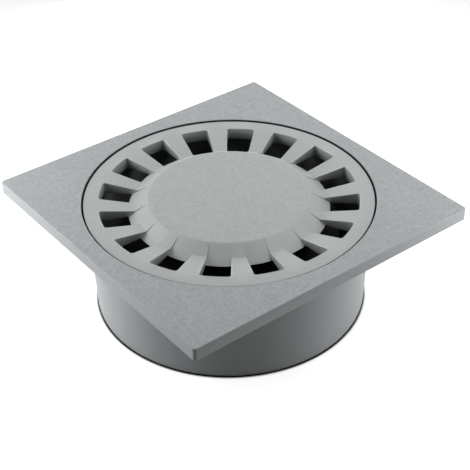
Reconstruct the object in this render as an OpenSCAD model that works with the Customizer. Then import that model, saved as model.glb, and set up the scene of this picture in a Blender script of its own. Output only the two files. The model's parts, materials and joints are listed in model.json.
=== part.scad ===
// Moulded yard drain: a square plate on a round tub, with a loose slotted grate and a bell trap
// The tub's underside is at z = 0 and the drain's axis is the Z axis, in millimetres

/* [Plate] */
// Side of the square plate
plate_side = 200; // [190:1:260]
// Height of the plate's outer edge
plate_edge_h = 8; // [7:0.5:12]
// Thickness of the plate's flat top
plate_skin = 3.2; // [2:0.1:4]
// Wall of the skirt round the plate
skirt_wall = 3; // [2:0.1:4]
// Radius of the plate's upright corners
plate_corner_r = 1.8; // [0.5:0.1:2.8]
// Thickness of the ribs under the plate's corners
corner_rib_t = 2.4; // [1.5:0.1:4]
// How far the corner ribs stop short of the skirt's lower edge
corner_rib_rise = 1; // [0.5:0.1:3]

/* [Tub] */
// Height from the tub's underside to the plate's top
body_h = 71; // [68:1:120]
// Wall of the tub
tub_wall = 3; // [2:0.1:4]
// Thickness of the tub's floor
floor_t = 3; // [2:0.1:5]
// Draft of the tub's wall, in degrees
tub_draft = 2.25; // [0:0.05:3]
// Radius round the tub's bottom edge
tub_edge_r = 1.5; // [0.5:0.1:2.5]
// Radius between the floor and the walls that rise from it
floor_fillet_r = 2; // [0.5:0.1:4]

/* [Grate seat] */
// Width of the ledge that carries the grate
ledge_w = 5.3; // [3.5:0.1:6]
// Gap round the grate in its seat
seat_gap = 1.0; // [0.3:0.1:1.2]
// Wall round the seat, below the plate
seat_wall = 3; // [2:0.1:4]
// Depth of the grate's rim below the plate's top
grate_drop = 0.9; // [0.3:0.1:2]
// Rounding of the plate's edge at the seat
seat_edge_r = 0.4; // [0.2:0.1:0.8]

/* [Outlet] */
// Outside diameter of the drain pipe that the socket takes
pipe_d = 110; // [90:1:112]
// Wall of that pipe, which sets the stop's width
pipe_wall = 3; // [2:0.1:4]
// Gap round the pipe in its socket
socket_gap = 0.2; // [0.1:0.05:0.5]
// Wall of the socket, which stands up inside the tub as a weir
socket_wall = 3.1; // [2:0.1:4]
// Height of the weir's rim above the tub's underside
weir_h = 38; // [30:0.5:40]
// Height of the stop at the socket's inner end
stop_h = 4; // [2:0.5:8]
// Chamfer at the socket's mouth
socket_chamfer = 1.2; // [0.5:0.1:2.5]

/* [Grate] */
// Outside diameter of the grate
grate_d = 175.5; // [172:0.1:178]
// Thickness of the rim that sits on the ledge
rim_t = 3.6; // [2.5:0.1:4.5]
// Width of the flat rim outside the slots
rim_w = 9.0; // [7.5:0.1:12]
// Rounding of the rim's top edge
rim_edge_r = 0.6; // [0.2:0.1:1.5]
// Gap between the wall under the rim and the tub
locate_gap = 1.2; // [0.4:0.1:2]
// Number of slots
slot_count = 16; // [12:1:18]
// Depth of the slots' walls at the rim
slot_depth = 8.1; // [6:0.1:9]
// Radius of the slots' outer corners
slot_corner_r = 1.4; // [0.4:0.1:3]
// Width of a rib at the rim
rib_w_out = 13; // [9:0.1:16]
// Width of a rib at its crease beside the disc
rib_w_in = 8.4; // [7:0.1:10]
// Fall of the ribs from the rim towards the centre, in degrees
rib_fall = 9.8; // [4:0.1:13]
// Thickness of the ribs' top over the hollow below it
rib_skin = 2.8; // [2:0.1:3.5]
// Wall between a slot and that hollow
slot_wall = 2.5; // [1.8:0.1:3]
// Turn of the loose grate in its seat, in degrees
grate_turn = 1.5; // [-11:0.1:11]

/* [Centre disc] */
// Diameter of the closed disc
disc_d = 98; // [84:1:104]
// Height of the disc above the rim
disc_rise = 0.9; // [0.5:0.1:3]
// Thickness of the disc
disc_t = 3; // [2:0.1:4]
// Rounding of the disc's edge
disc_edge_r = 3; // [1:0.1:6]
// Slope of the flank round the disc, in degrees
flank_angle = 32.7; // [28:0.1:40]
// Height of the flank in the slots
flank_h = 7.9; // [6.5:0.1:9]
// Wall of the flank
flank_wall = 3; // [2:0.1:4]
// Distance from the disc's edge to the ribs' crease
crease_run = 8.2; // [6:0.1:9]
// Number of webs under the disc
web_count = 8; // [3:1:12]
// Thickness of the webs and of the hub ring under the disc
web_t = 2.2; // [1.5:0.1:3]
// Diameter of the hub ring under the disc
hub_d = 28; // [16:1:60]
// Height of the webs below the disc
web_h = 4; // [2:0.1:5]

/* [Bell] */
// Gap between the weir and the bell at its mouth
bell_gap = 7.5; // [5:0.1:9]
// Wall of the bell
bell_wall = 2.2; // [1.6:0.1:3]
// Draft of the bell's wall, in degrees
bell_draft = 1; // [0:0.1:2]
// Height of the bell's mouth above the tub's floor
bell_lift = 10; // [6:0.5:16]
// Height of the bell's roof above the weir's rim
over_weir = 12; // [8:0.5:14]
// Rise of the bell's roof towards its centre
roof_rise = 3; // [0.5:0.1:4]
// Rounding of the bell's shoulder
shoulder_r = 4; // [3.2:0.1:8]
// Number of fins that stand on the weir
fin_count = 4; // [3:1:8]
// Thickness of the fins
fin_t = 2; // [1.4:0.1:3]
// Reach of the fins over the weir's rim and past it
fin_reach = 8.3; // [5:0.1:16]
// Depth of the fins' teeth outside the weir
tooth_h = 6; // [3:0.5:12]
// Gap between the fins' teeth and the weir
tooth_gap = 0.4; // [0.2:0.1:1]

/* [Hidden] */
$fn = 180;

body_colour = [0.69, 0.70, 0.70];
grate_colour = [0.72, 0.73, 0.72];
bell_colour = [0.12, 0.12, 0.12];

arc_steps = 5;
corner_rib_spread = 15;
cut_past = 1;

// Heights in the body
under_z = body_h - plate_edge_h;
ledge_z = body_h - grate_drop - rim_t;

// Radii in the body
seat_r = grate_d / 2 + seat_gap;
tub_top_r = seat_r - ledge_w;
tub_out_r = tub_top_r + tub_wall;
tub_foot_r = tub_out_r - under_z * tan(tub_draft);
floor_r = tub_top_r - (under_z - floor_t) * tan(tub_draft);
socket_r = pipe_d / 2 + socket_gap;
stop_r = pipe_d / 2 - pipe_wall;
weir_r = socket_r + socket_wall;

// Levels in the grate, below the plate's top
rim_z = -grate_drop;
ledge_under_z = rim_z - rim_t;
slot_foot_z = rim_z - slot_depth;
disc_z = rim_z + disc_rise;
flank_foot_z = disc_z - flank_h;
web_foot_z = disc_z - disc_t - web_h;

// Radii in the grate
grate_r = grate_d / 2;
slot_out_r = grate_r - rim_w;
rim_wall_r = tub_top_r - locate_gap;
disc_r = disc_d / 2;
crease_r = disc_r + crease_run;
crease_z = rim_z - (slot_out_r - crease_r) * tan(rib_fall);
flank_across = flank_wall / sin(flank_angle);
flank_tangent = disc_edge_r * tan(flank_angle / 2);
half_pitch = 180 / slot_count;

// Bell
bell_mouth_z = floor_t + bell_lift;
bell_mouth_r = weir_r + bell_gap;
roof_z = weir_h + over_weir;
bell_roof_r = bell_mouth_r - (roof_z - bell_mouth_z) * tan(bell_draft);
shoulder_in_r = shoulder_r - bell_wall;

// Points of a round stretch about a centre, from one angle to another
function arc(x, z, r, from, to) =
    [for (i = [0 : arc_steps]) let (a = from + (to - from) * i / arc_steps) [x + r * cos(a), z + r * sin(a)]];

// Outside radius of the flank at a level
function flank_r(z) = disc_r + (disc_z - z) / tan(flank_angle);

// Level of the ribs' top, and their width, at a distance from the centre
function rib_z(s) = crease_z + (s - crease_r) * tan(rib_fall);
function rib_w(s) = rib_w_in + (rib_w_out - rib_w_in) * (s - crease_r) / (slot_out_r - crease_r);

// A point on the side of the rib that bounds a slot lying along X
function slot_side(s) =
    [s * cos(half_pitch) + rib_w(s) / 2 * sin(half_pitch), s * sin(half_pitch) - rib_w(s) / 2 * cos(half_pitch)];

// Inside radius of the bell's wall at a level, and the roof's underside at a radius
function bell_in_r(z) = bell_mouth_r - (z - bell_mouth_z) * tan(bell_draft);
function roof_under_z(r) = roof_z + roof_rise * (1 - r / bell_roof_r);

module plate_block(inset, from_z, to_z) {
    half = plate_side / 2 - inset;
    r = max(plate_corner_r - inset, 0.2);
    translate([0, 0, from_z]) {
        linear_extrude(to_z - from_z) {
            square([2 * half, 2 * (half - r)], center = true);
            square([2 * (half - r), 2 * half], center = true);
            for (x = [-1, 1], y = [-1, 1]) {
                translate([x * (half - r), y * (half - r)])
                    circle(r = r, $fn = 32);
            }
        }
    }
}

// Flat top and skirt of the plate, open where the seat goes
module plate_shell() {
    difference() {
        plate_block(0, under_z, body_h);
        plate_block(skirt_wall, under_z - cut_past, body_h - plate_skin);
        translate([0, 0, under_z - cut_past])
            cylinder(r = seat_r + seat_wall / 2, h = plate_edge_h + 2 * cut_past);
    }
}

// Ribs that fan out under each corner of the plate
module corner_ribs() {
    foot_z = under_z + corner_rib_rise;
    intersection() {
        plate_block(skirt_wall / 2, foot_z, body_h - plate_skin / 2);
        for (corner = [45 : 90 : 315], spread = [-1 : 1]) {
            rotate(corner + spread * corner_rib_spread)
                translate([seat_r + seat_wall / 2, -corner_rib_t / 2, foot_z])
                    cube([plate_side, corner_rib_t, plate_edge_h]);
        }
    }
}

// Half section of the seat, the ledge, the tub, its floor and the weir
function body_section() = concat(
    [[socket_r + socket_chamfer, 0]],
    arc(tub_foot_r - tub_edge_r, tub_edge_r, tub_edge_r, -90, 0),
    [[tub_out_r, under_z], [seat_r + seat_wall, under_z], [seat_r + seat_wall, body_h]],
    arc(seat_r + seat_edge_r, body_h - seat_edge_r, seat_edge_r, 90, 180),
    [[seat_r, ledge_z], [tub_top_r, ledge_z], [tub_top_r, under_z]],
    arc(floor_r - floor_fillet_r, floor_t + floor_fillet_r, floor_fillet_r, 0, -90),
    arc(weir_r + floor_fillet_r, floor_t + floor_fillet_r, floor_fillet_r, -90, -180),
    [[weir_r, weir_h], [stop_r, weir_h], [stop_r, weir_h - stop_h]],
    [[socket_r, weir_h - stop_h], [socket_r, socket_chamfer]]
);

module body() {
    color(body_colour) {
        union() {
            plate_shell();
            corner_ribs();
            rotate_extrude()
                polygon(body_section());
        }
    }
}

// Half section of the rim and of the band that the slots are cut from
function band_section() = concat(
    [[disc_r + flank_tangent * cos(flank_angle), disc_z - flank_tangent * sin(flank_angle)]],
    [[crease_r, crease_z], [slot_out_r, rim_z]],
    arc(grate_r - rim_edge_r, rim_z - rim_edge_r, rim_edge_r, 90, 0),
    [[grate_r, ledge_under_z], [rim_wall_r, ledge_under_z], [rim_wall_r, slot_foot_z]],
    [[slot_out_r, slot_foot_z], [flank_r(flank_foot_z), flank_foot_z]],
    [[flank_r(flank_foot_z) - flank_across / 2, flank_foot_z]],
    [[flank_r(disc_z - disc_t / 2) - flank_across / 2, disc_z - disc_t / 2]]
);

// Plan of one slot, from under the disc to the rim, with round outer corners
module slot_plan() {
    side = [slot_side(disc_r - crease_run), slot_side(slot_out_r + rim_w)];
    offset(r = slot_corner_r, $fn = 24) {
        offset(delta = -slot_corner_r) {
            intersection() {
                circle(r = slot_out_r);
                polygon([side[0], side[1], [side[1].x, -side[1].y], [side[0].x, -side[0].y]]);
            }
        }
    }
}

// Hollows under the ribs, with a ceiling that follows the ribs' fall
module rib_hollows() {
    inner_s = flank_r(flank_foot_z) + slot_wall / 2;
    low_z = slot_foot_z - cut_past;
    intersection() {
        rotate_extrude() {
            polygon([
                [inner_s, rib_z(inner_s) - rib_skin],
                [slot_out_r, rim_z - rib_skin],
                [slot_out_r, low_z],
                [inner_s, low_z]
            ]);
        }
        for (i = [0 : slot_count - 1]) {
            rotate((i + 0.5) * 2 * half_pitch) {
                translate([0, 0, low_z]) {
                    linear_extrude(slot_depth + cut_past) {
                        polygon([
                            [inner_s, rib_w(inner_s) / 2 - slot_wall],
                            [slot_out_r + cut_past, rib_w_out / 2 - slot_wall],
                            [slot_out_r + cut_past, slot_wall - rib_w_out / 2],
                            [inner_s, slot_wall - rib_w(inner_s) / 2]
                        ]);
                    }
                }
            }
        }
    }
}

module slotted_band() {
    difference() {
        rotate_extrude()
            polygon(band_section());
        for (i = [0 : slot_count - 1]) {
            rotate(i * 2 * half_pitch)
                translate([0, 0, slot_foot_z - cut_past])
                    linear_extrude(slot_depth + grate_drop + disc_rise + 2 * cut_past)
                        slot_plan();
        }
        rib_hollows();
    }
}

// Closed disc with its sloping flank, a hollow cap seen from below
module disc_cap() {
    rotate_extrude() {
        polygon(concat(
            [[0, disc_z - disc_t], [0, disc_z]],
            arc(disc_r - flank_tangent, disc_z - disc_edge_r, disc_edge_r, 90, 90 - flank_angle),
            [[flank_r(flank_foot_z), flank_foot_z], [flank_r(flank_foot_z) - flank_across, flank_foot_z]],
            [[flank_r(disc_z - disc_t) - flank_across, disc_z - disc_t]]
        ));
    }
}

// Webs and a hub ring that stiffen the disc from below
module disc_webs() {
    top_z = disc_z - disc_t / 2;
    intersection() {
        rotate_extrude() {
            polygon([
                [hub_d / 2 - web_t, top_z],
                [flank_r(top_z) - flank_across / 2, top_z],
                [flank_r(web_foot_z) - flank_across / 2, web_foot_z],
                [hub_d / 2 - web_t, web_foot_z]
            ]);
        }
        union() {
            for (i = [0 : web_count - 1]) {
                rotate((i + 0.5) * 360 / web_count)
                    translate([hub_d / 2 - web_t / 2, -web_t / 2, web_foot_z])
                        cube([grate_d, web_t, web_h + disc_t]);
            }
            translate([0, 0, web_foot_z])
                cylinder(r = hub_d / 2, h = web_h + disc_t);
        }
    }
}

module grate() {
    color(grate_colour) {
        translate([0, 0, body_h]) {
            rotate(grate_turn) {
                union() {
                    slotted_band();
                    disc_cap();
                    disc_webs();
                }
            }
        }
    }
}

// Half section of the bell, an upturned cup with a rising roof
function bell_section() = concat(
    [[bell_mouth_r, bell_mouth_z], [bell_mouth_r + bell_wall, bell_mouth_z]],
    arc(bell_roof_r - shoulder_in_r, roof_z - shoulder_in_r, shoulder_r, 0, 90),
    [[0, roof_z + roof_rise + bell_wall], [0, roof_z + roof_rise]],
    arc(bell_roof_r - shoulder_in_r, roof_z - shoulder_in_r, shoulder_in_r, 90, 0)
);

// Fins that stand on the weir's rim, with teeth that keep the bell central
module bell_fin() {
    inner_r = weir_r - fin_reach;
    tooth_r = weir_r + tooth_gap;
    tooth_z = weir_h - tooth_h;
    half_wall = bell_wall / 2;
    shoulder_x = bell_roof_r - shoulder_in_r;
    shoulder_z = roof_z - shoulder_in_r;
    rotate([90, 0, 0]) {
        linear_extrude(fin_t, center = true) {
            polygon([
                [inner_r, weir_h],
                [tooth_r, weir_h],
                [tooth_r, tooth_z],
                [bell_in_r(tooth_z) + half_wall, tooth_z],
                [bell_in_r(shoulder_z) + half_wall, shoulder_z],
                [shoulder_x, roof_z + half_wall],
                [inner_r, roof_under_z(inner_r) + half_wall]
            ]);
        }
    }
}

module bell() {
    color(bell_colour) {
        union() {
            rotate_extrude()
                polygon(bell_section());
            for (i = [0 : fin_count - 1]) {
                rotate((i + 0.5) * 360 / fin_count)
                    bell_fin();
            }
        }
    }
}

body();
grate();
bell();
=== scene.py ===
import bpy, bmesh, json, math
from mathutils import Vector, Matrix

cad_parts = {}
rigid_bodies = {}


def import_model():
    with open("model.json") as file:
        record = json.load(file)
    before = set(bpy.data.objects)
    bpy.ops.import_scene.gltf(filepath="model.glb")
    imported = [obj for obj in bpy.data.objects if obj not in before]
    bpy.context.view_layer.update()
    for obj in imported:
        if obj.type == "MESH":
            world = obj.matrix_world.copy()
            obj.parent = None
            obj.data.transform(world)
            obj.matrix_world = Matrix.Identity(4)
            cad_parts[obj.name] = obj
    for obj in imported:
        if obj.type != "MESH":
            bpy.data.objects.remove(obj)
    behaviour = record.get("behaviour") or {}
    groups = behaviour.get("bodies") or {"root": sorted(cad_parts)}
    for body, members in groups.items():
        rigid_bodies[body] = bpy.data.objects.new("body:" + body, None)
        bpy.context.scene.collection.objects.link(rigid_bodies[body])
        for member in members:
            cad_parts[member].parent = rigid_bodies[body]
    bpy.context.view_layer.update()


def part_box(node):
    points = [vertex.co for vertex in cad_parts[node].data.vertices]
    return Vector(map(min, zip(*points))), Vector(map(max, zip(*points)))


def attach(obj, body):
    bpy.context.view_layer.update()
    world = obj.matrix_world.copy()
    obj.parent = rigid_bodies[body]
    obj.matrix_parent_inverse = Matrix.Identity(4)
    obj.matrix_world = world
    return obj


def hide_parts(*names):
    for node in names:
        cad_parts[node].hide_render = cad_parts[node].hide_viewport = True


# A square-plated yard drain in light-grey PVC: plate and tub in one moulding, a loose slotted grate, a dark bell trap.
# All places are in metres, z = 0 under the tub, the drain's axis at x = y = 0.
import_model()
scene = bpy.context.scene
mm = 0.001
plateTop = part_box("body")[1][2]          # height of the plate's top, 71 mm
print("frame loaded, plate top at", round(plateTop / mm, 2), "mm")


# sRGB hex to the linear values that shaders take
def toLinear(hexColour):
    channels = [int(hexColour[i:i + 2], 16) / 255 for i in (1, 3, 5)]
    return tuple(c / 12.92 if c <= 0.04045 else ((c + 0.055) / 1.055) ** 2.4 for c in channels) + (1,)


def addNode(tree, kind, settings=None, inputs=None, links=None):
    node = tree.nodes.new(kind)
    for key, value in (settings or {}).items():
        setattr(node, key, value)
    for key, value in (inputs or {}).items():
        node.inputs[key].default_value = value
    for key, source in (links or {}).items():
        tree.links.new(source, node.inputs[key])
    return node


def newMaterial(name):
    material = bpy.data.materials.new(name)
    material.use_nodes = True
    material.node_tree.nodes.clear()
    return material, material.node_tree


# the photo's view, fitted to the plate's corners and the seat's circle
camera = {
    "azimuth": -37.49, "elevation": 36.07, "roll": -0.96,       # degrees, azimuth 0 looks along +Y
    "distance": 714.07 * mm, "aimSide": 3.69 * mm, "aimUp": -24.4 * mm,
    "focalPixels": 1185.88, "framePixels": 470, "sensorWidth": 36,
    "clipStart": 10 * mm,
}


def placeCamera(c):
    azimuth, elevation, roll = (math.radians(c[k]) for k in ("azimuth", "elevation", "roll"))
    back = Vector((math.sin(azimuth) * math.cos(elevation), -math.cos(azimuth) * math.cos(elevation),
                   math.sin(elevation)))
    level = (-back).cross(Vector((0, 0, 1))).normalized()
    upright = level.cross(-back)
    side = level * math.cos(roll) + upright * math.sin(roll)
    up = upright * math.cos(roll) - level * math.sin(roll)
    place = Vector((0, 0, plateTop)) + back * c["distance"] + side * c["aimSide"] + up * c["aimUp"]
    data = bpy.data.cameras.new("camera")
    data.sensor_width = c["sensorWidth"]
    data.lens = c["focalPixels"] / c["framePixels"] * c["sensorWidth"]
    data.clip_start = c["clipStart"]
    cameraObject = bpy.data.objects.new("camera", data)
    cameraObject.matrix_world = Matrix([[side[i], up[i], back[i], place[i]] for i in range(3)] + [[0, 0, 0, 1]])
    scene.collection.objects.link(cameraObject)
    scene.camera = cameraObject


placeCamera(camera)
print("camera placed")

# Injection-moulded PVC: an even light grey, satin where the mould was polished. The plate's top and the disc have a
# spark-eroded grain that breaks up the gloss.
lightPvc = {
    "colour": "#AFB3B4", "shade": "#A5AAAC", "patch": 45,     # patches of slightly different tone, mm across
    "roughness": 0.42, "grainRoughness": 0.55, "uneven": 0.08, "ior": 1.53, "specular": 0.5,
    "grain": 2.0, "fineGrain": 0.9,       # mm; real grain is about 0.3 mm, drawn coarse enough to show
    "grainDepth": 0.25,                   # mm
    "grainTone": 0.17, "grainMean": 0.975,    # how far the grain's tone goes to each side of its mean
    "grainAbove": 70.7,                   # mm; only upward faces above this height have the grain
    "flow": 7, "flowDepth": 0.02,         # faint waviness of a moulded wall, mm
    "paintedShade": {"gap": 0.02, "walls": 0.45, "inside": 0.3},      # what the painted shade leaves of the colour, zone by zone
}
noGrain = 1000     # mm, a height that no face reaches
# the grate's moulding came out a little lighter, and the grain of its disc is shallower
palePvc = dict(lightPvc, colour="#B5B9B9", shade="#ACB0B0", grainDepth=0.13, grainTone=0.13, grainMean=0.995)
# its slots' rounded edges are smooth and glossy, and lighter in colour: a painted highlight that draws them as thin
# bright lines
edgeHighlightPvc = dict(palePvc, colour="#C4C8C9", shade="#BCC0C1", roughness=0.10, specular=1.0, grainAbove=noGrain)
# Dark recycled PVC for the bell, dull as moulded, so that the slots look black. The painted shade doesn't darken it
# further.
darkPvc = dict(lightPvc, colour="#161717", shade="#101111", patch=30, roughness=0.65, specular=0.2,
               grainAbove=noGrain, paintedShade={"gap": 1.0, "walls": 1.0, "inside": 1.0})
upwardFrom = 0.97             # upright part of a face's normal from which it counts as facing up
grainSpread = (0.6, 1.4)      # where the sum of the two grain noises lies

# Painted shade: the colour is darkened in the seat's gap, down the slots' walls towards their foot, and inside the tub.
# Each limit runs from where the painted shade ends to where it is full: radius and height in mm, steep is 0 on an
# upright wall.
paintedShadeZones = {
    "gap": (("radius", 87.5, 87.65), ("radius", 88.91, 88.9), ("height", 70.85, 70.4)),
    "walls": (("radius", 59, 63), ("radius", 79.6, 79.2), ("steep", 0.6, 0.4), ("height", 69.5, 61.5)),
    "inside": (("radius", 84.0, 83.6), ("height", 1, 4), ("height", 62, 61)),
}


# 1 where a zone's painted shade is full, fading to 0 where it ends
def paintedShadeMask(tree, measures, limits):
    mask = None
    for measure, ends, full in limits:
        within = addNode(tree, "ShaderNodeMapRange", {"interpolation_type": "SMOOTHSTEP"},
                         {"From Min": ends, "From Max": full}, {"Value": measures[measure]}).outputs[0]
        mask = within if mask is None else addNode(tree, "ShaderNodeMath", {"operation": "MULTIPLY"}, None,
                                                   {0: mask, 1: within}).outputs[0]
    return mask


def mouldedPvc(name, look):
    material, tree = newMaterial(name)
    place = addNode(tree, "ShaderNodeTexCoord").outputs["Object"]
    shape = addNode(tree, "ShaderNodeNewGeometry")
    placeInMm = addNode(tree, "ShaderNodeVectorMath", {"operation": "SCALE"}, {"Scale": 1 / mm}, {0: place}).outputs[0]
    height = addNode(tree, "ShaderNodeSeparateXYZ", links={0: placeInMm}).outputs["Z"]
    facing = addNode(tree, "ShaderNodeSeparateXYZ", links={0: shape.outputs["True Normal"]}).outputs["Z"]
    above = addNode(tree, "ShaderNodeMath", {"operation": "GREATER_THAN"}, {1: look["grainAbove"]}, {0: height})
    upward = addNode(tree, "ShaderNodeMath", {"operation": "GREATER_THAN"}, {1: upwardFrom}, {0: facing})
    grained = addNode(tree, "ShaderNodeMath", {"operation": "MULTIPLY"}, None,
                      {0: above.outputs[0], 1: upward.outputs[0]}).outputs[0]

    coarse = addNode(tree, "ShaderNodeTexNoise", None,
                     {"Scale": 1 / (look["grain"] * mm), "Detail": 1.0, "Roughness": 0.5}, {"Vector": place})
    fine = addNode(tree, "ShaderNodeTexNoise", None,
                   {"Scale": 1 / (look["fineGrain"] * mm), "Detail": 2.0, "Roughness": 0.6}, {"Vector": place})
    grain = addNode(tree, "ShaderNodeMath", {"operation": "ADD"}, None,
                    {0: coarse.outputs["Fac"], 1: fine.outputs["Fac"]}).outputs[0]
    grainOnTop = addNode(tree, "ShaderNodeMath", {"operation": "MULTIPLY"}, None, {0: grain, 1: grained}).outputs[0]
    waves = addNode(tree, "ShaderNodeTexNoise", None,
                    {"Scale": 1 / (look["flow"] * mm), "Detail": 1.0, "Roughness": 0.4}, {"Vector": place})
    patches = addNode(tree, "ShaderNodeTexNoise", None,
                      {"Scale": 1 / (look["patch"] * mm), "Detail": 3.0, "Roughness": 0.55}, {"Vector": place})

    # the colour, in patches, speckled by the grain
    patchy = addNode(tree, "ShaderNodeMix", {"data_type": "RGBA"},
                     {6: toLinear(look["shade"]), 7: toLinear(look["colour"])}, {0: patches.outputs["Fac"]}).outputs[2]
    speckle = addNode(tree, "ShaderNodeMapRange", None,
                      {"From Min": grainSpread[0], "From Max": grainSpread[1],
                       "To Min": look["grainMean"] - look["grainTone"],
                       "To Max": look["grainMean"] + look["grainTone"]},
                      {"Value": grain}).outputs[0]
    speckleOnTop = addNode(tree, "ShaderNodeMix", {"data_type": "FLOAT"}, {2: 1.0}, {0: grained, 3: speckle}).outputs[0]
    colour = addNode(tree, "ShaderNodeVectorMath", {"operation": "SCALE"}, None,
                     {0: patchy, "Scale": speckleOnTop}).outputs[0]

    # painted shade darkens the colour zone by zone; the gap and the tub's inside are also made fully rough
    fromAxis = addNode(tree, "ShaderNodeVectorMath", {"operation": "MULTIPLY"}, {1: (1, 1, 0)},
                       {0: placeInMm}).outputs[0]
    measures = {
        "radius": addNode(tree, "ShaderNodeVectorMath", {"operation": "LENGTH"}, None,
                          {0: fromAxis}).outputs["Value"],
        "height": height,
        "steep": addNode(tree, "ShaderNodeMath", {"operation": "ABSOLUTE"}, None, {0: facing}).outputs[0],
    }
    masks = {zone: paintedShadeMask(tree, measures, limits) for zone, limits in paintedShadeZones.items()}
    for zone, mask in masks.items():
        left = addNode(tree, "ShaderNodeMapRange", None, {"To Min": 1.0, "To Max": look["paintedShade"][zone]},
                       {"Value": mask}).outputs[0]
        colour = addNode(tree, "ShaderNodeVectorMath", {"operation": "SCALE"}, None,
                         {0: colour, "Scale": left}).outputs[0]
    grainDull = addNode(tree, "ShaderNodeMapRange", None,
                        {"To Min": look["roughness"], "To Max": look["grainRoughness"]}, {"Value": grained}).outputs[0]
    unevenDull = addNode(tree, "ShaderNodeMath", {"operation": "MULTIPLY_ADD"}, {1: look["uneven"]},
                         {0: patches.outputs["Fac"], 2: grainDull}).outputs[0]
    dullWherePaintedShade = addNode(tree, "ShaderNodeMath", {"operation": "MAXIMUM"}, None,
                       {0: masks["gap"], 1: masks["inside"]}).outputs[0]
    roughness = addNode(tree, "ShaderNodeMix", {"data_type": "FLOAT"}, {3: 1.0},
                        {0: dullWherePaintedShade, 2: unevenDull}).outputs[0]

    wavy = addNode(tree, "ShaderNodeBump", None, {"Strength": 1.0, "Distance": look["flowDepth"] * mm},
                   {"Height": waves.outputs["Fac"]})
    grainy = addNode(tree, "ShaderNodeBump", None, {"Strength": 1.0, "Distance": look["grainDepth"] * mm},
                     {"Height": grainOnTop, "Normal": wavy.outputs[0]})
    shader = addNode(tree, "ShaderNodeBsdfPrincipled", None,
                     {"IOR": look["ior"], "Specular IOR Level": look["specular"]},
                     {"Base Color": colour, "Roughness": roughness, "Normal": grainy.outputs[0]})
    addNode(tree, "ShaderNodeOutputMaterial", links={"Surface": shader.outputs[0]})
    return material


bodyMaterial = mouldedPvc("moulded light-grey PVC, body", lightPvc)
grateMaterial = mouldedPvc("moulded light-grey PVC, grate", palePvc)
highlightedEdgeMaterial = mouldedPvc("smooth light-grey PVC, edges with painted highlight", edgeHighlightPvc)
bellMaterial = mouldedPvc("moulded dark PVC, bell", darkPvc)
print("materials made")

oneSkin = 0.001 * mm     # CAD points closer than this are one point

# The grate's CAD mesh is copied, joined into one skin and given the small radii that a mould leaves on every edge.
grate = {      # mm and degrees; angles are counted from a slot's middle
    "node": "grate", "piece": "grateMoulding", "slot": "grate_pvc",
    "count": 16, "turn": 1.5,                       # slots, and how far the grate lies turned in its seat
    "outer": 78.75, "wallEnd": 5.562,               # circle that the outer walls follow, and the angle they reach
    "corner": (76.744, 78.121), "cornerEnd": 6.6,   # where the CAD's round corners start and end
    "crease": 79.4,                                 # where the flat rim starts
    "ribTops": ((57.2, 66.378), (78.75, 70.1)),     # radius and height at both ends of the falling faces
    "underside": ((61.3, 63.1), (78.75, 62.0)),
    "cuts": (-2.842, 0, 2.842, 9.05, 11.25, 13.45),   # none runs along a rib's side
    "flatWithin": 0.4,                              # faces that meet at less are joined into one
    "creaseFrom": 13,                               # the curved walls turn by less from facet to facet
    "sharpFrom": 50,                                # least angle of an edge that is rounded
    # the slots' edges at their top and at their foot: rounding, and the radii and depths below the plate's top
    # that they lie between; beside a top edge a face looks up, and beside a foot edge it needn't
    "rims": {"radius": 0.35, "segments": 3, "between": (57.3, 79.2), "depth": (-1, 5.2), "upward": 0.7},
    "feet": {"radius": 0.25, "segments": 2, "between": (57.3, 84), "depth": (7.6, 10), "upward": -1},
}
# how far off a point may be and still count: in mm from a sloping face, its end, the rim and a round corner, and
# in degrees from a wall's end and middle; points closer than "joined" mm become one
near = {"face": 0.03, "end": 0.02, "rim": 0.015, "corner": 0.01, "wallEnd": 0.02, "middle": 0.2, "joined": 0.02}


def slope(edge):
    return edge.calc_face_angle(0) if edge.is_manifold else 0


# The CAD's slots end in two straight walls, up to 0.6 mm short of the circle that the real ones follow. This lays
# them onto that circle, and starts the flat rim a little further out, so that no sliver is left beside a slot.
def layOuterWalls(bm, g):
    pitch = 360 / g["count"]
    cornerStart, chordEnd = g["corner"]
    moved = 0
    for vert in bm.verts:
        radius, height = math.hypot(vert.co.x, vert.co.y) / mm, vert.co.z / mm
        for (innerR, innerZ), (outerR, outerZ) in (g["ribTops"], g["underside"]):
            fall = (outerZ - innerZ) / (outerR - innerR)
            offFace = abs(innerZ + (radius - innerR) * fall - height)
            if innerR - near["end"] < radius < outerR + near["end"] and offFace < near["face"]:
                break
        else:
            continue
        angle = math.degrees(math.atan2(vert.co.y, vert.co.x)) - g["turn"]
        middle = round(angle / pitch) * pitch
        off = angle - middle
        if radius > outerR - near["rim"]:
            radius = g["crease"]
        elif radius > cornerStart - near["corner"] and abs(off) < g["wallEnd"] + near["wallEnd"]:
            radius = g["outer"]
            off = 0 if abs(off) < near["middle"] else off
        elif radius > cornerStart - near["corner"] and abs(off) < g["cornerEnd"]:
            radius = cornerStart + (radius - cornerStart) * (g["outer"] - cornerStart) / (chordEnd - cornerStart)
        height = innerZ + (radius - innerR) * (outerZ - innerZ) / (g["crease"] - innerR)
        a = math.radians(g["turn"] + middle + off)
        vert.co = Vector((radius * math.cos(a), radius * math.sin(a), height)) * mm
        moved += 1
    bmesh.ops.remove_doubles(bm, verts=bm.verts, dist=near["joined"] * mm)
    print("  outer walls laid on their circle,", moved, "points")


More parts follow.
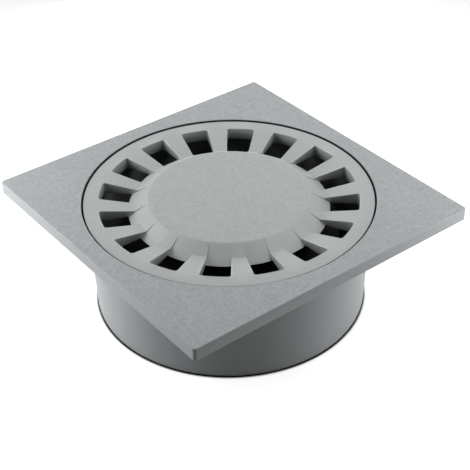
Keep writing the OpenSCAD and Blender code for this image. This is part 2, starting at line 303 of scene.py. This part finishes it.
# cuts the skin into even sectors, so that no long thin face runs beside a slot, and joins what is flat in each
def cutSectors(bm, g):
    pitch = 360 / g["count"]
    for i in range(g["count"] // 2):      # a cut runs right across, so half of the slots are enough
        for cut in g["cuts"]:
            a = math.radians(g["turn"] + i * pitch + cut)
            made = bmesh.ops.bisect_plane(bm, geom=bm.verts[:] + bm.edges[:] + bm.faces[:], dist=oneSkin,
                                          plane_co=(0, 0, 0), plane_no=(-math.sin(a), math.cos(a), 0))
            for part in made["geom_cut"]:
                if isinstance(part, bmesh.types.BMEdge):
                    part.seam = True
    bmesh.ops.dissolve_limit(bm, angle_limit=math.radians(g["flatWithin"]), verts=bm.verts, edges=bm.edges,
                             delimit={"SEAM"})


# true for an edge of the kind that mould describes
def isMouldEdge(edge, sharpFrom, mould):
    if not (edge.is_manifold and edge.is_convex and slope(edge) > math.radians(sharpFrom)):
        return False
    middle = (edge.verts[0].co + edge.verts[1].co) / 2
    radius, depth = math.hypot(middle.x, middle.y) / mm, (plateTop - middle.z) / mm
    upward = max(face.normal.z for face in edge.link_faces)
    return (mould["between"][0] < radius < mould["between"][1] and mould["depth"][0] < depth < mould["depth"][1]
            and upward > mould["upward"])


def addFlatShading(piece):
    shade = piece.modifiers.new("flat faces stay flat", "WEIGHTED_NORMAL")
    shade.keep_sharp = True


# the rounded edges get the second material, whose lighter colour is a painted highlight
def mouldGrate(g, materials):
    bm = bmesh.new()
    bm.from_mesh(bpy.data.objects[g["node"]].data)
    bmesh.ops.remove_doubles(bm, verts=bm.verts, dist=oneSkin)
    layOuterWalls(bm, g)
    cutSectors(bm, g)
    for edge in bm.edges:      # creases stay crisp, curved walls stay smooth
        edge.smooth = slope(edge) < math.radians(g["creaseFrom"])
    for mould in (g["rims"], g["feet"]):
        edges = [e for e in bm.edges if isMouldEdge(e, g["sharpFrom"], mould)]
        bmesh.ops.bevel(bm, geom=edges, offset=mould["radius"] * mm, offset_type="OFFSET",
                        segments=mould["segments"], profile=0.5, affect="EDGES", clamp_overlap=False,
                        miter_outer="ARC", miter_inner="SHARP", material=1)
        print("  grate rounds", len(edges), "edges by", mould["radius"], "mm")
    mesh = bpy.data.meshes.new(g["piece"])
    for face in bm.faces:
        face.smooth = True
    bm.to_mesh(mesh)
    bm.free()
    for material in materials:
        mesh.materials.append(material)
    piece = bpy.data.objects.new(g["piece"], mesh)
    scene.collection.objects.link(piece)
    addFlatShading(piece)
    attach(piece, "root")
    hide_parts(g["node"])


mouldGrate(grate, (grateMaterial, highlightedEdgeMaterial))

# Body and bell have no fine steps, so their CAD meshes get such small radii from modifiers. In mm and degrees.
body = {"node": "body", "radius": 0.4, "segments": 2, "sharpFrom": 50, "flatWithin": 1.0}
bell = {"node": "bell", "radius": 0.35, "segments": 2, "sharpFrom": 50, "flatWithin": 1.0}


def softenCad(c, material):
    piece = bpy.data.objects[c["node"]]
    piece.data.materials.clear()
    piece.data.materials.append(material)
    weld = piece.modifiers.new("one skin", "WELD")
    weld.merge_threshold = oneSkin
    plain = piece.modifiers.new("plain faces", "DECIMATE")
    plain.decimate_type, plain.angle_limit = "DISSOLVE", math.radians(c["flatWithin"])
    rounds = piece.modifiers.new("mould radii", "BEVEL")
    rounds.width, rounds.segments = c["radius"] * mm, c["segments"]
    rounds.limit_method, rounds.angle_limit = "ANGLE", math.radians(c["sharpFrom"])
    rounds.use_clamp_overlap = False
    rounds.miter_outer = "MITER_ARC"
    addFlatShading(piece)
    print(" ", c["node"], "edges rounded by", c["radius"], "mm")


softenCad(body, bodyMaterial)
softenCad(bell, bellMaterial)
print("pieces made")

# Matt white table. Seen directly it is white with the drain's shadow; the light it throws back up is held low,
# as the photo's dark front shows.
table = {
    "half": 4.0,                                          # m that it reaches to each side of the drain
    "below": 0.05,                                        # mm that it lies under the tub, so the two don't flicker
    "white": "#CCCCCC", "glow": 0.8, "dim": "#8A8A8A",    # as it is seen, and the colour that lights the drain
    "contact": 3, "contactSpread": (0.55, 0.85),          # mm that the painted contact shadow under the tub reaches, and its softness
    "contactSamples": 16,
}
pureWhite = "#FFFFFF"


# 1 for a ray that shows the background, 0 for one that carries its light to the drain
def raySeesBackground(tree):
    path = addNode(tree, "ShaderNodeLightPath").outputs
    first = addNode(tree, "ShaderNodeMath", {"operation": "MAXIMUM"}, None,
                    {0: path["Is Camera Ray"], 1: path["Is Glossy Ray"]}).outputs[0]
    return addNode(tree, "ShaderNodeMath", {"operation": "MAXIMUM"}, None,
                   {0: first, 1: path["Is Transmission Ray"]}).outputs[0]


def layTable(t):
    h = t["half"]
    low = -t["below"] * mm
    mesh = bpy.data.meshes.new("table")
    mesh.from_pydata([(-h, -h, low), (h, -h, low), (h, h, low), (-h, h, low)], [], [(0, 1, 2, 3)])
    material, tree = newMaterial("matt white table")
    seen = raySeesBackground(tree)
    # painted contact shadow: near the tub, the table's white and glow are darkened by the ambient occlusion node
    openness = addNode(tree, "ShaderNodeAmbientOcclusion", {"samples": t["contactSamples"]},
                       {"Distance": t["contact"] * mm})
    clear = addNode(tree, "ShaderNodeMapRange", None,
                    {"From Min": t["contactSpread"][0], "From Max": t["contactSpread"][1]},
                    {"Value": openness.outputs["AO"]})
    light = addNode(tree, "ShaderNodeMath", {"operation": "MULTIPLY"}, {1: t["glow"]}, {0: clear.outputs[0]})
    paper = addNode(tree, "ShaderNodeVectorMath", {"operation": "SCALE"}, {0: toLinear(t["white"])[:3]},
                    {"Scale": clear.outputs[0]})
    dim = addNode(tree, "ShaderNodeBsdfDiffuse", None, {"Color": toLinear(t["dim"])})
    white = addNode(tree, "ShaderNodeBsdfDiffuse", None, None, {"Color": paper.outputs[0]})
    glow = addNode(tree, "ShaderNodeEmission", None, {"Color": toLinear(pureWhite)}, {"Strength": light.outputs[0]})
    bright = addNode(tree, "ShaderNodeAddShader", None, None, {0: white.outputs[0], 1: glow.outputs[0]})
    both = addNode(tree, "ShaderNodeMixShader", None, None, {0: seen, 1: dim.outputs[0], 2: bright.outputs[0]})
    addNode(tree, "ShaderNodeOutputMaterial", links={"Surface": both.outputs[0]})
    mesh.materials.append(material)
    tableObject = bpy.data.objects.new("table", mesh)
    scene.collection.objects.link(tableObject)


layTable(table)

# softboxes low on both sides and behind, nothing from the front
lamps = {      # azimuth and elevation in degrees, distance and size in metres, power in watts
    "leftLow":    (-112.5, 8, 0.42, 0.30, 0.29),
    "leftPanel":  (-127.5, 14, 0.28, 0.20, 0.26),
    "leftHigh":   (-132.5, 30, 0.42, 0.30, 0.80),
    "backLow":    (142.5, 8, 0.42, 0.30, 0.61),
    "rightPanel": (47.5, 2, 0.28, 0.20, 0.425),
    "rightHigh":  (57.5, 60, 0.42, 0.30, 0.62),
    "rightBack":  (77.5, 60, 0.42, 0.30, 0.30),
}
lampAim = Vector((0, 0, 50 * mm))      # all of them face this place on the drain's axis


def hangLamp(name, azimuth, elevation, distance, size, power):
    data = bpy.data.lights.new(name, "AREA")
    data.size, data.energy = size, power
    lamp = bpy.data.objects.new(name, data)
    a, e = math.radians(azimuth), math.radians(elevation)
    away = Vector((math.sin(a) * math.cos(e), -math.cos(a) * math.cos(e), math.sin(e)))
    lamp.location = lampAim + away * distance
    lamp.rotation_euler = away.to_track_quat("Z", "Y").to_euler()
    lamp.visible_camera = False
    scene.collection.objects.link(lamp)


for lampName, values in lamps.items():
    hangLamp(lampName, *values)

# the backdrop is white to the eye and gives no light of its own
world = bpy.data.worlds.new("studio")
world.use_nodes = True
world.node_tree.nodes.clear()
backdrop = addNode(world.node_tree, "ShaderNodeBackground", None, {"Color": toLinear(pureWhite)},
                   {"Strength": raySeesBackground(world.node_tree)})
addNode(world.node_tree, "ShaderNodeOutputWorld", links={"Surface": backdrop.outputs[0]})
scene.world = world
scene.view_settings.view_transform = "Standard"
print("table, lamps and backdrop set")
